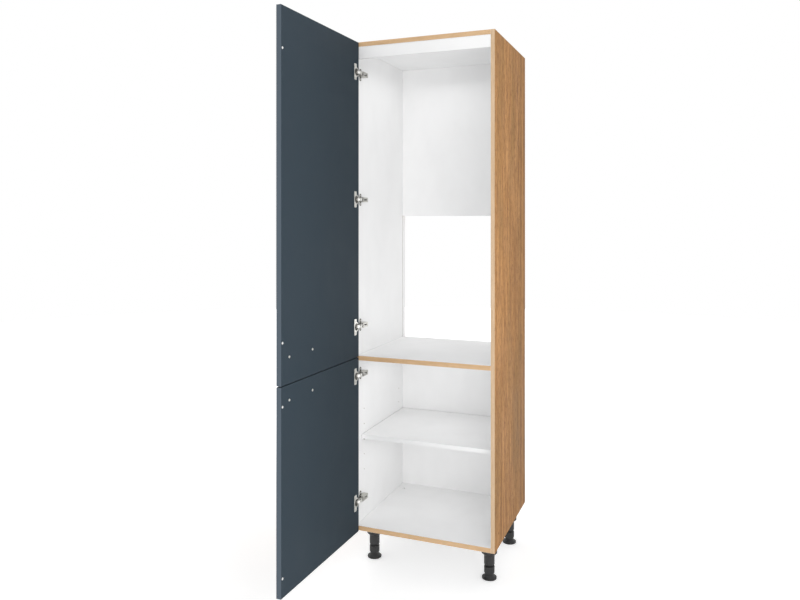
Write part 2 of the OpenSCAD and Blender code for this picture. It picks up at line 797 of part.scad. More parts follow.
// The head of a leg under the bottom panel: two pegs, a socket for the sleeve and a hole for a plinth clip
module leg_head(i) {
    drop = leg_head_h + leg_taper_h;
    color(black) in_carcass() translate([leg_spots[i][0], leg_spots[i][1], 0]) difference() {
        union() {
            rotate_extrude() polygon([
                [0, 0], [leg_head_r, 0], [leg_head_r, -leg_head_h], [sleeve_r + head_lip, -drop], [0, -drop]
            ]);
            for (side = [-1, 1]) translate([side * peg_out, 0, -cut]) cylinder(r = peg_r, h = peg_len + cut);
        }
        translate([0, 0, -drop - cut]) cylinder(r = sleeve_r + sleeve_fit, h = drop - head_roof_t + cut);
        translate([0, 0, -drop]) cylinder(r = head_bore_r, h = drop + cut);
        y_rod(clip_hole_r, leg_head_r, 0, -leg_head_r - cut, -clip_hole_down);
    }
}

module leg_sleeve(i) {
    top = -head_roof_t;
    bottom = -(foot_h - sleeve_bottom);
    color(black) in_carcass() translate([leg_spots[i][0], leg_spots[i][1], bottom]) difference() {
        cylinder(r = sleeve_r, h = top - bottom);
        translate([0, 0, -cut]) cylinder(r = spindle_r + spindle_fit, h = top - bottom + 2 * cut);
    }
}

// A screw foot: the spindle in the sleeve, the grip collar, the flare and the base disc on the floor
module leg_foot(i) {
    spindle_top = sleeve_bottom + spindle_in;
    collar_low = collar_top - collar_h;
    color(black) in_carcass() translate([leg_spots[i][0], leg_spots[i][1], -foot_h]) difference() {
        rotate_extrude() polygon([
            [0, 0], [foot_r - edge_break, 0], [foot_r, edge_break], [foot_r, disc_h - edge_break],
            [foot_r - edge_break, disc_h], [flare_r, disc_h], [neck_r, collar_low - neck_h],
            [neck_r, collar_low], [collar_r - edge_break, collar_low], [collar_r, collar_low + edge_break],
            [collar_r, collar_top - edge_break], [collar_r - edge_break, collar_top],
            [spindle_r, collar_top], [spindle_r, spindle_top - edge_break],
            [spindle_r - edge_break, spindle_top], [0, spindle_top]
        ]);
        for (k = [0:grip_count - 1])
            rotate([0, 0, k * 360 / grip_count]) translate([collar_r + grip_out, 0, collar_low - cut])
                cylinder(r = grip_r, h = collar_h + 2 * cut);
        translate([0, 0, spindle_top]) cube(spindle_slot, center = true);
    }
}

side_left();
side_right();
top_panel();
fixed_shelf();
bottom_panel();
front_rail();
back_panel_upper();
back_panel_lower();
adjustable_shelf();
shelf_pins();
carcass_dowels();
access_bushes();
upper_door();
lower_door();
upper_handle();
lower_handle();
upper_handle_screws();
lower_handle_screws();
upper_door_buffers();
lower_door_buffers();
hinge_plate(hinge_zs[0]);  // hinge_plate_1
hinge_plate(hinge_zs[1]);  // hinge_plate_2
hinge_plate(hinge_zs[2]);  // hinge_plate_3
hinge_plate(hinge_zs[3]);  // hinge_plate_4
hinge_plate(hinge_zs[4]);  // hinge_plate_5
hinge_arm(hinge_zs[0]);  // hinge_arm_1
hinge_arm(hinge_zs[1]);  // hinge_arm_2
hinge_arm(hinge_zs[2]);  // hinge_arm_3
hinge_arm(hinge_zs[3]);  // hinge_arm_4
hinge_arm(hinge_zs[4]);  // hinge_arm_5
inner_link(hinge_zs[0]);  // inner_link_1
inner_link(hinge_zs[1]);  // inner_link_2
inner_link(hinge_zs[2]);  // inner_link_3
inner_link(hinge_zs[3]);  // inner_link_4
inner_link(hinge_zs[4]);  // inner_link_5
outer_link(hinge_zs[0]);  // outer_link_1
outer_link(hinge_zs[1]);  // outer_link_2
outer_link(hinge_zs[2]);  // outer_link_3
outer_link(hinge_zs[3]);  // outer_link_4
outer_link(hinge_zs[4]);  // outer_link_5
hinge_cup(hinge_zs[0]);  // hinge_cup_1
hinge_cup(hinge_zs[1]);  // hinge_cup_2
hinge_cup(hinge_zs[2]);  // hinge_cup_3
hinge_cup(hinge_zs[3]);  // hinge_cup_4
hinge_cup(hinge_zs[4]);  // hinge_cup_5
plate_screws();
upper_cup_screws();
lower_cup_screws();
leg_head(0);  // leg_head_front_left
leg_head(1);  // leg_head_front_right
leg_head(2);  // leg_head_rear_left
leg_head(3);  // leg_head_rear_right
leg_sleeve(0);  // leg_sleeve_front_left
leg_sleeve(1);  // leg_sleeve_front_right
leg_sleeve(2);  // leg_sleeve_rear_left
leg_sleeve(3);  // leg_sleeve_rear_right
leg_foot(0);  // leg_foot_front_left
leg_foot(1);  // leg_foot_front_right
leg_foot(2);  // leg_foot_rear_left
leg_foot(3);  // leg_foot_rear_right
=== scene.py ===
"""Finishes a tall kitchen cabinet that houses a built-in fridge, and sets the studio round it.

The cabinet's own solids come from model.glb. This script gives each of them its finish, adds the front edge
bands, the rivet heads of the hinges and a small cap as worked-out surfaces, and places the floor, the lamps
and the camera.
"""

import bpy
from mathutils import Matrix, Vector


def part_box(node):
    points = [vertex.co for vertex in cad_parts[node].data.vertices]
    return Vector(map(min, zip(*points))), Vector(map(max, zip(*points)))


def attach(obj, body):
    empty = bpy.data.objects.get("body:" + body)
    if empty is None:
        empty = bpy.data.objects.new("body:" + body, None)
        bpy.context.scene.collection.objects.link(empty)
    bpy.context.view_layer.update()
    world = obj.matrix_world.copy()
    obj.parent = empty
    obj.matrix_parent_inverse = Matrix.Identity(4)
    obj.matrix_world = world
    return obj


bl_info = {
    "name": "Fridge Housing Unit",
    "version": (1, 0, 0),
    "blender": (4, 5, 0),
    "location": "View3D > Sidebar > Cabinet",
    "description": "Decor boards, doors, hinges and legs of a fridge housing cabinet, with its studio",
    "category": "Add Mesh",
}

import math

import bmesh
import bpy
import numpy as np
from bpy.props import FloatProperty, FloatVectorProperty, PointerProperty
from mathutils import Vector

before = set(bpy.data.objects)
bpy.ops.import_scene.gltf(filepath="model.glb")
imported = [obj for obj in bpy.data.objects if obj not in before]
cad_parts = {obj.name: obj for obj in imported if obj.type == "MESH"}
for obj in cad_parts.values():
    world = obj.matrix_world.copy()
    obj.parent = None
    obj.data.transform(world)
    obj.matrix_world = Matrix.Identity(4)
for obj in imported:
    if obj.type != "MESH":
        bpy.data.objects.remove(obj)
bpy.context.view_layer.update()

MM = 0.001

SIDE_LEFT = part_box("side_left")
SIDE_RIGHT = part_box("side_right")
SIDE_T = SIDE_LEFT[1].x - SIDE_LEFT[0].x
CARCASS_FRONT = SIDE_LEFT[0].y
CARCASS_BACK = SIDE_LEFT[1].y
LEVEL_BOARDS = ("top_panel", "fixed_shelf", "bottom_panel")
LEG_PLACES = ("front_left", "front_right", "rear_left", "rear_right")
HINGE_COUNT = 5
# Doors at rest: the angle that they are open, and the way from the hinges to the free edge
DOOR_OPEN = math.radians(91.5)
DOOR_ALONG = Vector((math.cos(DOOR_OPEN), -math.sin(DOOR_OPEN), 0))
# Hinge arm: radius of the eyes at its tip, step from the inner to the outer pin, and half its tip's width
TIP_EYE_R = 2.8 * MM
PIN_STEP = (6.8 * MM, 1.1 * MM)
TIP_HALF = 7 * MM
# Foot: height over the floor at which its spindle starts, and height of the thread as so many of its skin
SPINDLE_Z = 50.2 * MM
THREAD_HEIGHT = 50
# Cap on the inner face of the left side: depth into the cabinet and height, radius and thickness
CAP_PLACE = (0.3454, 0.188)
CAP_R = 4 * MM
CAP_H = 0.8 * MM

# Fineness of the surfaces: points of a band's rounding, places along it, rings and corners of the rest
ARC_POINTS = 7
BAND_PLACES = 25
DOME_RINGS = 6
DOME_CORNERS = 24
FLOOR_RINGS = 6
FLOOR_CORNERS = 48
# Share of the quarter turn that a dome climbs before a flat top closes it
DOME_CLIMB = 0.97
# Angles up to which the edges of bands and domes are smooth
BAND_SMOOTH = math.radians(40)
DOME_SMOOTH = math.radians(60)

# Features to the metre of each finish's fine texture, or along each axis
SHEET_GRAIN = 900
FIBRE_GRAIN = 350
PAINT_GRAIN = 850
LEG_GRAIN = 650
MILKY_GRAIN = 500
CHIPS = (420, 420, 300)
METAL_PATCHES = (120, 120, 120)
NICKEL_SCRATCHES = (300, 300, 900)
BRUSHED_SCRATCHES = (900, 20, 900)
BEECH_GRAIN = (40, 900, 900)
FLOOR_GRAIN = (300, 300, 300)
# Roughness of each finish before its sheen is added, and the weak mirroring of matt ones
OAK_ROUGH = 0.42
WHITE_ROUGH = 0.36
BACK_ROUGH = 0.38
BAND_ROUGH = 0.45
PAINT_ROUGH = 0.46
LEG_ROUGH = 0.34
BEECH_ROUGH = 0.5
FLOOR_ROUGH = 0.75
MATT_MIRRORING = 0.12
FLOOR_MIRRORING = 0.1
# What the grain of a finish adds to its roughness, and what bare fibre, scratches, mottle and skin add
OAK_ADDS = 0.12
BAND_ADDS = 0.15
BEECH_ADDS = 0.2
FLOOR_ADDS = 0.1
FIBRE_ADDS = 0.3
SCRATCH_ADDS = 0.18
MOTTLE_ADDS = 0.22
SKIN_ADDS = 0.08
# Height of the relief of wood, of smooth sheets and plastic, and of scratched metal
WOOD_RELIEF = 0.05 * MM
SHEET_RELIEF = 0.04 * MM
SCRATCH_RELIEF = 0.015 * MM
# Painted shade in hollows: openness at which one counts as closed in, share of painted shade that it then
# has, and its tone in metal
CLOSED_AT = 0.05
DARKEST_PAINTED_SHADE = 0.95
METAL_PAINTED_SHADE = (0.012, 0.011, 0.010)
# Chipboard: what its darker chips and gaps keep of the colour, and share of the gaps
CHIP_SHADE = (0.45, 0.42, 0.38)
CHIP_GAPS = 0.6

# Oak decor: turn in radians of its rings and of their ripple over the noise's range, and depth of a pore
RING_TURN = 80.0
RIPPLE_TURN = 7.0
PORE_DEPTH = 0.8
# Long cracks of the oak decor: place across, half width, lowest and highest point, share of dark and of pale
CRACKS = (
    (0.4476, 0.007, 1.58, 1.90, 1.00, 0.10),
    (0.4274, 0.006, 0.51, 0.80, 0.90, 0.10),
    (0.1220, 0.007, 0.13, 0.59, 0.95, 0.50),
    (0.4200, 0.008, 1.93, 2.06, 0.60, 0.00),
    (0.0852, 0.006, 0.53, 0.60, 0.70, 0.00),
    (0.4900, 0.009, 0.10, 2.20, 0.45, 0.50),
    # This row is a dark strip along the rear edge of a side, over its whole height
    (0.5570, 0.012, 0.10, 2.20, 0.55, 0.00),
)
# Each crack: how far it wanders across the grain, where it fades at its ends, and in half widths the place
# of its pale line, how far the dark and the pale line reach, and how much of them is at full strength
CRACK_WANDER = 12 * MM
CRACK_FADE = (-20 * MM, 40 * MM)
PALE_PLACE = 4.0
DARK_REACH = 1.0
PALE_REACH = 1.8
LINE_CORE = 0.2
# Small knots of the oak decor: place across and height, radius, share of it that is darkest, and its dark
KNOTS = ((0.1845, 0.6117), (0.0820, 0.2063), (0.3300, 1.2400))
KNOT_R = 8 * MM
KNOT_CORE = 0.3
KNOT_DARK = 0.85
# Painted light on the oak, brighter at the front and darker at the rear and near the foot: how far it runs
# past the edges of a side, and the heights it runs between
PAINTED_LIGHT_MARGIN = 0.1
PAINTED_LIGHT_HEIGHTS = (0.2, 1.1)

# Floor: radius, and the distances between which it fades to white
FLOOR_R = 9
FLOOR_FADE = (0.9, 2.6)
# Camera: place, and width of its film in millimetres
CAMERA_PLACE = (1.007, -2.7346, 1.4367)
FILM_WIDTH = 36
# Lamps in front of the cabinet: place, target and size
LOW_LAMP = ((1.0, -3.2, 0.5), (0.1, 0.3, 1.4), 1.0)
DOOR_LAMP = ((1.5, -1.9, 1.2), (-0.3, -0.6, 1.1), 1.0)
# Lamps inside the cabinet: name, height and direction, and the place and size that they share
INNER_LAMPS = (("ceiling_lamp", 0.93, 1), ("niche_lamp", 2.08, -1), ("cupboard_lamp", 0.835, -1),
               ("bottom_lamp", 0.495, -1))
INNER_PLACE = (0.016, 0.26)
INNER_SIZE = 0.42

COLOUR = "NodeSocketColor"
NUMBER = "NodeSocketFloat"
VECTOR = "NodeSocketVector"


def colour(name, description, value):
    """A colour that the user can change, in linear values."""
    return FloatVectorProperty(name=name, description=description, subtype="COLOR", size=3, min=0, max=1,
                               default=value)


def length(name, description, value):
    """A size that the user can change, in metres."""
    return FloatProperty(name=name, description=description, default=value, min=0, unit="LENGTH", precision=5)


def tones(name, description, value):
    """The brightness that a colour takes on at two ends, which the user can change."""
    return FloatVectorProperty(name=name, description=description, size=2, min=0, default=value)


class BoardFinish(bpy.types.PropertyGroup):
    """Colours and sizes of the carcass boards and their edge bands."""

    oak_pale: colour("Oak pale", "Lightest streaks of the oak decor", (0.515, 0.262, 0.093))
    oak_mid: colour("Oak middle", "Ground of the oak decor", (0.388, 0.184, 0.060))
    oak_olive: colour("Oak olive", "Greener patches of the oak decor", (0.355, 0.184, 0.060))
    oak_dark: colour("Oak dark", "Dark lines and pores of the oak decor", (0.150, 0.062, 0.017))
    # Painted light: the decor brighter toward the front edge and darker toward the rear
    painted_light_across: tones("Tone across", "Brightness of the oak decor toward its front and its rear edge",
                       (1.20, 0.87))
    # Painted shade: the decor darker near the foot
    painted_light_upward: tones("Tone upward", "Brightness of the oak decor near its foot and higher up", (0.86, 1.02))
    # The band colours are paler oak, partly painted light of the front edges, which face the lamps
    band_pale: colour("Band pale", "Lightest streaks of the front bands", (0.72, 0.52, 0.34))
    band_mid: colour("Band middle", "Ground of the front bands", (0.64, 0.45, 0.28))
    band_dark: colour("Band dark", "Dark lines of the front bands", (0.42, 0.26, 0.13))
    # The level bands' colours likewise hold painted light of the front edges
    level_pale: colour("Level band pale", "Lightest streaks of the level boards' bands", (0.72, 0.48, 0.27))
    level_mid: colour("Level band middle", "Ground of the level boards' bands", (0.645, 0.414, 0.222))
    white: colour("White", "White faces of the boards", (0.94, 0.94, 0.94))
    core: colour("Core", "Chipboard between the faces of a board", (0.34, 0.24, 0.14))
    # Gap: colour of the painted shade in narrow gaps, deep holes and inner corners
    gap: colour("Gap", "Tone that a narrow gap or a deep hole takes on", (0.03, 0.027, 0.024))
    fibre: colour("Fibre", "Bare rear face of the back panels", (0.30, 0.19, 0.10))
    beech_dark: colour("Beech dark", "Darker grain of the dowels", (0.42, 0.27, 0.14))
    beech_pale: colour("Beech pale", "Paler grain of the dowels", (0.62, 0.43, 0.25))
    face_t: length("Face", "Thickness of the decor sheet on a board", 0.35 * MM)
    band_t: length("Band", "Thickness of a front band that lies in the board", 0.8 * MM)
    band_proud: length("Band proud", "Distance that a front band stands out of the board's edge", 0.15 * MM)
    band_round: length("Band rounding", "Rounding of the long edges of a front band", 0.7 * MM)


class DoorFinish(bpy.types.PropertyGroup):
    """Colours of the doors and their buffers, and the paint's fine surface."""

    slate: colour("Slate", "Painted faces of the doors", (0.031, 0.046, 0.060))
    edge: colour("Edge", "Painted edges of the doors", (0.088, 0.112, 0.138))
    edge_t: length("Edge band", "Thickness of the band on the free edge of a door", 1.3 * MM)
    # Painted light: the paint darker at the hinges and brighter at the free edge
    painted_light_along: tones("Tone along", "Brightness of the paint at the hinges and at a door's free edge",
                      (0.82, 1.08))
    mottle: FloatProperty(name="Mottle", description="Strength of the paint's faint tone changes", min=0,
                          max=1, default=0.10)
    peel: length("Peel", "Height of the paint's fine texture", 0.03 * MM)
    buffer: colour("Buffer", "Milky plastic of the round buffers", (0.80, 0.80, 0.79))
    buffer_bloom: colour("Buffer bloom", "Duller bloom on the buffers", (0.66, 0.66, 0.64))


class MetalFinish(bpy.types.PropertyGroup):
    """Colours of the hinges, pins, screws and handles."""

    nickel: colour("Nickel", "Plated steel of the cups, screws and pins", (0.80, 0.79, 0.75))
    tarnish: colour("Tarnish", "Greyer places on the plated steel", (0.48, 0.47, 0.43))
    # Link: the plated steel made brighter, a painted highlight
    link: colour("Link", "Bright steel of the links", (0.97, 0.96, 0.93))
    plate: colour("Plate", "Duller cast metal of the mounting plates", (0.16, 0.155, 0.145))
    # Arm: the plated steel made darker, a painted shade
    arm: colour("Arm", "Plated steel of the arms", (0.60, 0.59, 0.55))
    handle: colour("Handle", "Brushed metal of the handles", (0.58, 0.58, 0.57))
    rivet_r: length("Rivet radius", "Radius of the rivet heads on the hinge arms", 2.2 * MM)
    rivet_h: length("Rivet height", "Height of the rivet heads on the hinge arms", 0.7 * MM)


class LegFinish(bpy.types.PropertyGroup):
    """Colours of the legs, the bushes and the small cap, and the pitch of the screw thread."""

    black: colour("Black", "Moulded plastic of the legs", (0.015, 0.015, 0.0155))
    scuff: colour("Scuff", "Paler bloom on the moulded plastic", (0.034, 0.034, 0.034))
    white: colour("White", "White plastic of the bushes and the cap", (0.97, 0.97, 0.96))
    white_bloom: colour("White bloom", "Duller bloom on the white plastic", (0.92, 0.92, 0.91))
    pitch: length("Pitch", "Pitch of the thread on the spindles", 4 * MM)


class StudioLook(bpy.types.PropertyGroup):
    """Floor, lamps and camera."""

    floor: colour("Floor", "Colour of the floor", (0.93, 0.93, 0.93))
    sky: FloatProperty(name="Sky", description="Level of the even light from all round", default=0.93, min=0)
    low: FloatProperty(name="Low", description="Power of the low lamp in front", default=10, min=0,
                       unit="POWER")
    door: FloatProperty(name="Door", description="Power of the lamp that lights the inner faces of the doors",
                        default=11.6, min=0, unit="POWER")
    inside: FloatVectorProperty(name="Inside", size=4, min=0, default=(0.10, 0.355, 0.36, 0.31),
                                description="Powers of the hidden lamps that point up and down in the "
                                "niche, and of those over and under the adjustable shelf")
    floor_glow: FloatProperty(name="Floor glow", description="Light that the camera sees the floor add",
                              default=0.30, min=0, max=1)
    lens: FloatProperty(name="Lens", description="Focal length for a 36 mm wide picture", default=32.98,
                        min=1)
    turn: FloatProperty(name="Turn", description="Camera's turn to the left of straight ahead",
                        default=math.radians(22.104), subtype="ANGLE", unit="ROTATION")
    shift_x: FloatProperty(name="Shift across", description="Sideways shift of the picture", default=0.0108)
    shift_y: FloatProperty(name="Shift up", description="Upright shift of the picture", default=-0.1015)


class NodeTree:
    """Adds nodes to one shader tree. A value given for a socket is either another socket or a plain value."""

    def __init__(self, tree):
        self.tree = tree

    def feed(self, socket, value):
        """Links or sets one input."""
        if isinstance(value, bpy.types.NodeSocket):
            self.tree.links.new(value, socket)
        elif socket.type == "RGBA" and len(value) == 3:
            socket.default_value = (*value, 1)
        else:
            socket.default_value = value

    def add(self, kind, settings=None, **inputs):
        """A new node with its settings and its named inputs."""
        node = self.tree.nodes.new(kind)
        for name, value in (settings or {}).items():
            setattr(node, name, value)
        for name, value in inputs.items():
            self.feed(node.inputs[name.replace("_", " ")], value)
        return node

    def operate(self, kind, operation, values):
        """The outputs of a new node that works out an operation, with its inputs in order."""
        node = self.add(kind, {"operation": operation})
        for socket, value in zip(node.inputs, values):
            self.feed(socket, value)
        return node.outputs

    def maths(self, operation, *values):
        """The result of a Math node."""
        return self.operate("ShaderNodeMath", operation, values)[0]

    def vectors(self, operation, *values):
        """The outputs of a Vector Math node, which are a Vector and, for lengths and products, a Value."""
        return self.operate("ShaderNodeVectorMath", operation, values)

    def axes(self, vector):
        """The X, Y and Z of a vector."""
        return self.add("ShaderNodeSeparateXYZ", None, Vector=vector).outputs

    def noise(self, vector, scale=(1, 1, 1), detail=3, roughness=0.5):
        """Noise from 0 to 1, with so many features to the metre along each axis."""
        stretched = self.vectors("MULTIPLY", vector, scale)["Vector"]
        return self.add("ShaderNodeTexNoise", None, Vector=stretched, Scale=1, Detail=detail,
                        Roughness=roughness).outputs["Fac"]

    def soft_step(self, value, low, high, start=0, end=1):
        """A smooth step of the value from low to high."""
        node = self.add("ShaderNodeMapRange", {"interpolation_type": "SMOOTHSTEP"}, Value=value)
        for name, number in (("From Min", low), ("From Max", high), ("To Min", start), ("To Max", end)):
            self.feed(node.inputs[name], number)
        return node.outputs[0]

    def mix(self, factor, first, second, blend="MIX"):
        """Two colours mixed by a factor."""
        node = self.add("ShaderNodeMix", {"data_type": "RGBA", "blend_type": blend})
        self.feed(node.inputs["Factor"], factor)
        self.feed(node.inputs[6], first)
        self.feed(node.inputs[7], second)
        return node.outputs[2]

    def group(self, tree, **inputs):
        """The outputs of a shared node group, with its named inputs."""
        return self.add("ShaderNodeGroup", {"node_tree": tree}, **inputs).outputs


def new_group(name, inputs, outputs):
    """An empty shader group with named sockets. Gives its node helper and the sockets at its two ends."""
    tree = bpy.data.node_groups.new(name, "ShaderNodeTree")
    for label, kind, value in inputs:
        socket = tree.interface.new_socket(label, in_out="INPUT", socket_type=kind)
        if value is not None:
            socket.default_value = value
    for label, kind in outputs:
        tree.interface.new_socket(label, in_out="OUTPUT", socket_type=kind)
    nodes = NodeTree(tree)
    return nodes, nodes.add("NodeGroupInput").outputs, nodes.add("NodeGroupOutput").inputs


def oak_grain_group():
    """Oak decor with its grain along Z: rings cut as arches, streaks, flecks, pores and olive patches."""
    nodes, given, result = new_group("oak_grain", [
        ("Vector", VECTOR, None), ("Pale", COLOUR, None), ("Middle", COLOUR, None), ("Olive", COLOUR, None),
        ("Dark", COLOUR, None), ("Figure", NUMBER, 1.0)], [("Color", COLOUR), ("Height", NUMBER)])
    place, figure = given["Vector"], given["Figure"]
    rings = nodes.noise(place, (6, 6, 0.75), detail=1.5, roughness=0.4)
    ripple = nodes.maths("MULTIPLY", nodes.noise(place, (22, 22, 5)), RIPPLE_TURN)
    rings = nodes.maths("SINE", nodes.maths("MULTIPLY_ADD", rings, RING_TURN, ripple))
    patch = nodes.noise(place, (8, 8, 1.6))
    streak = nodes.noise(place, (42, 42, 3.2), detail=4, roughness=0.6)
    fleck = nodes.noise(place, (75, 75, 38), detail=4, roughness=0.75)
    fine = nodes.noise(place, (330, 330, 16), roughness=0.65)
    pores = nodes.soft_step(nodes.noise(place, (900, 900, 45), detail=2, roughness=0.6), 0.60, 0.72)
    ground = nodes.mix(nodes.soft_step(streak, 0.36, 0.64), given["Middle"], given["Pale"])
    olive = nodes.maths("MULTIPLY", nodes.soft_step(patch, 0.42, 0.62), figure)
    ground = nodes.mix(olive, ground, given["Olive"])
    for mask, share in ((nodes.maths("MULTIPLY", nodes.soft_step(rings, 0.0, 1.0), figure), 0.22),
                        (nodes.maths("MULTIPLY", nodes.soft_step(fleck, 0.46, 0.64), figure), 0.48),
                        (nodes.soft_step(fine, 0.48, 0.72), 0.32), (pores, 0.40)):
        ground = nodes.mix(nodes.maths("MULTIPLY", mask, share), ground, given["Dark"])
    nodes.feed(result["Color"], ground)
    nodes.feed(result["Height"], nodes.maths("SUBTRACT", fine, nodes.maths("MULTIPLY", pores, PORE_DEPTH)))
    return nodes.tree


def crack_group():
    """A dark line along Z between two heights, at a place across the grain, with a pale line beside it."""
    nodes, given, result = new_group("long_crack", [
        ("Vector", VECTOR, None), ("Place", NUMBER, 0.0), ("Width", NUMBER, 0.004), ("Low", NUMBER, 0.0),
        ("High", NUMBER, 1.0)], [("Dark", NUMBER), ("Pale", NUMBER)])
    axes = nodes.axes(given["Vector"])
    wander = nodes.maths("SUBTRACT", nodes.noise(given["Vector"], (0, 0, 3), detail=2), 0.5)
    wander = nodes.maths("MULTIPLY", wander, CRACK_WANDER)
    across = nodes.maths("ADD", nodes.maths("SUBTRACT", axes["Y"], given["Place"]), wander)
    strength = nodes.soft_step(nodes.noise(given["Vector"], (2, 2, 9)), 0.25, 0.50)
    for edge, way in ((given["Low"], 1), (given["High"], -1)):
        inside = nodes.maths("MULTIPLY", nodes.maths("SUBTRACT", axes["Z"], edge), way)
        strength = nodes.maths("MULTIPLY", strength, nodes.soft_step(inside, *CRACK_FADE))
    beside = nodes.maths("SUBTRACT", across, nodes.maths("MULTIPLY", given["Width"], PALE_PLACE))
    for name, distance, reach in (("Dark", across, DARK_REACH), ("Pale", beside, PALE_REACH)):
        widths = nodes.maths("DIVIDE", nodes.maths("ABSOLUTE", distance), given["Width"])
        line = nodes.soft_step(widths, reach, LINE_CORE)
        nodes.feed(result[name], nodes.maths("MULTIPLY", line, strength))
    return nodes.tree


def chipboard_group():
    """Pressed wood chips: cells of differing tone, flattened along Z, with dark gaps."""
    nodes, given, result = new_group("chipboard", [("Vector", VECTOR, None), ("Base", COLOUR, None)],
                                     [("Color", COLOUR), ("Height", NUMBER)])
    flattened = nodes.vectors("MULTIPLY", given["Vector"], CHIPS)["Vector"]
    cells = nodes.add("ShaderNodeTexVoronoi", {"feature": "F1"}, Vector=flattened, Scale=1, Randomness=1)
    tone = nodes.add("ShaderNodeSeparateColor", None, Color=cells.outputs["Color"]).outputs["Red"]
    dark = nodes.mix(1.0, given["Base"], CHIP_SHADE, "MULTIPLY")
    body = nodes.mix(tone, dark, given["Base"])
    gap = nodes.soft_step(cells.outputs["Distance"], 0.55, 0.95)
    nodes.feed(result["Color"], nodes.mix(nodes.maths("MULTIPLY", gap, CHIP_GAPS), body, dark))
    nodes.feed(result["Height"], nodes.maths("SUBTRACT", tone, gap))
    return nodes.tree


def fine_texture_group():
    """The even, fine-grained texture of a decor sheet or a moulded surface, with a slow change of tone."""
    nodes, given, result = new_group("fine_texture", [
        ("Vector", VECTOR, None), ("Scale", NUMBER, 700.0), ("Base", COLOUR, None), ("Tone", COLOUR, None),
        ("Mottle", NUMBER, 0.1)], [("Color", COLOUR), ("Height", NUMBER), ("Sheen", NUMBER)])
    sized = nodes.add("ShaderNodeVectorMath", {"operation": "SCALE"}, Vector=given["Vector"],
                      Scale=given["Scale"]).outputs["Vector"]
    grain = nodes.noise(sized, roughness=0.6)
    slow = nodes.noise(given["Vector"], (9, 9, 5), detail=4, roughness=0.55)
    uneven = nodes.maths("ADD", nodes.soft_step(slow, 0.35, 0.70), nodes.maths("SUBTRACT", grain, 0.5))
    amount = nodes.maths("MULTIPLY", uneven, given["Mottle"])
    nodes.feed(result["Color"], nodes.mix(amount, given["Base"], given["Tone"]))
    nodes.feed(result["Height"], grain)
    sheen = nodes.maths("MULTIPLY_ADD", slow, MOTTLE_ADDS, nodes.maths("MULTIPLY", grain, SKIN_ADDS))
    nodes.feed(result["Sheen"], sheen)
    return nodes.tree


SHARED_GROUPS = {
    "oak_grain": oak_grain_group,
    "long_crack": crack_group,
    "chipboard": chipboard_group,
    "fine_texture": fine_texture_group,
}


def shared(name):
    """A shared node group, made when it is first asked for."""
    return bpy.data.node_groups.get(name) or SHARED_GROUPS[name]()


def toned(base, share):
    """A colour made lighter or darker by a share."""
    return tuple(share * value for value in base)


def new_material(name):
    """An empty material. Gives the material, its node helper, its shader and the object's own coordinates."""
    material = bpy.data.materials.new(name)
    material.use_nodes = True
    nodes = NodeTree(material.node_tree)
    shader = material.node_tree.nodes["Principled BSDF"]
    place = nodes.add("ShaderNodeTexCoord").outputs["Object"]
    return material, nodes, shader, place


def dress(nodes, shader, tone, roughness, height, relief):
    """Feeds the shader its colour, its roughness and a relief, whose height of 1 is so many metres high."""
    nodes.feed(shader.inputs["Base Color"], tone)
    nodes.feed(shader.inputs["Roughness"], roughness)
    bump = nodes.add("ShaderNodeBump", None, Height=height, Distance=relief, Strength=1.0)
    nodes.feed(shader.inputs["Normal"], bump.outputs["Normal"])


def painted_shade_mask(nodes, reach, open_at=0.85):
    """A mask of painted shade for gaps, deep holes and inner corners: 0 on an open face, rising where walls
    within the reach close in.
    """
    openness = nodes.add("ShaderNodeAmbientOcclusion", {"samples": 8}, Distance=reach).outputs["AO"]
    return nodes.soft_step(openness, CLOSED_AT, open_at, DARKEST_PAINTED_SHADE, 0.0)


def wear(node_names, material):
    """Puts a material on CAD nodes, in place of all the slots that they had."""
    for name in node_names:
        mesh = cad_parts[name].data
        mesh.materials.clear()
        mesh.materials.append(material)


def board_with_painted_shade(nodes, tone, finish):
    """A board's colour with painted shade in its joints, holes and inner corners."""
    return nodes.mix(painted_shade_mask(nodes, reach=4 * MM, open_at=0.60), tone, finish.gap)


def white_face(nodes, place, finish):
    """The colour, height and sheen of a white decor sheet."""
    return nodes.group(shared("fine_texture"), Vector=place, Scale=SHEET_GRAIN, Base=finish.white,
                       Tone=toned(finish.white, 0.93), Mottle=0.35)


def depth_in_board(nodes, place, axis, start, direction):
    """Distance into a board from its first face, along one axis."""
    return nodes.maths("MULTIPLY", nodes.maths("SUBTRACT", nodes.axes(place)[axis], start), direction)


def with_cracks(nodes, place, decor, finish):
    """The oak decor with its long cracks and the dark strip along its rear edge."""
    for across, width, low, high, dark, pale in CRACKS:
        crack = nodes.group(shared("long_crack"), Vector=place, Place=across, Width=width, Low=low, High=high)
        decor = nodes.mix(nodes.maths("MULTIPLY", crack["Pale"], pale), decor, finish.oak_pale)
        decor = nodes.mix(nodes.maths("MULTIPLY", crack["Dark"], dark), decor, finish.oak_dark)
    return decor


def with_knots(nodes, place, first_face, decor, finish):
    """The oak decor with its small knots, which are dark spots round points of the side's outer face."""
    for across, height in KNOTS:
        distance = nodes.vectors("DISTANCE", place, (first_face, across, height))["Value"]
        knot = nodes.soft_step(distance, KNOT_CORE * KNOT_R, KNOT_R, KNOT_DARK, 0)
        decor = nodes.mix(knot, decor, finish.oak_dark)
    return decor


def painted_side_light(nodes, place, finish):
    """Painted light and shade on a side: brighter toward the front, darker toward the rear and near the foot.
    """
    axes = nodes.axes(place)
    across = nodes.soft_step(axes["Y"], CARCASS_FRONT - PAINTED_LIGHT_MARGIN, CARCASS_BACK + PAINTED_LIGHT_MARGIN,
                             *finish.painted_light_across)
    upward = nodes.soft_step(axes["Z"], *PAINTED_LIGHT_HEIGHTS, *finish.painted_light_upward)
    return nodes.maths("MULTIPLY", across, upward)


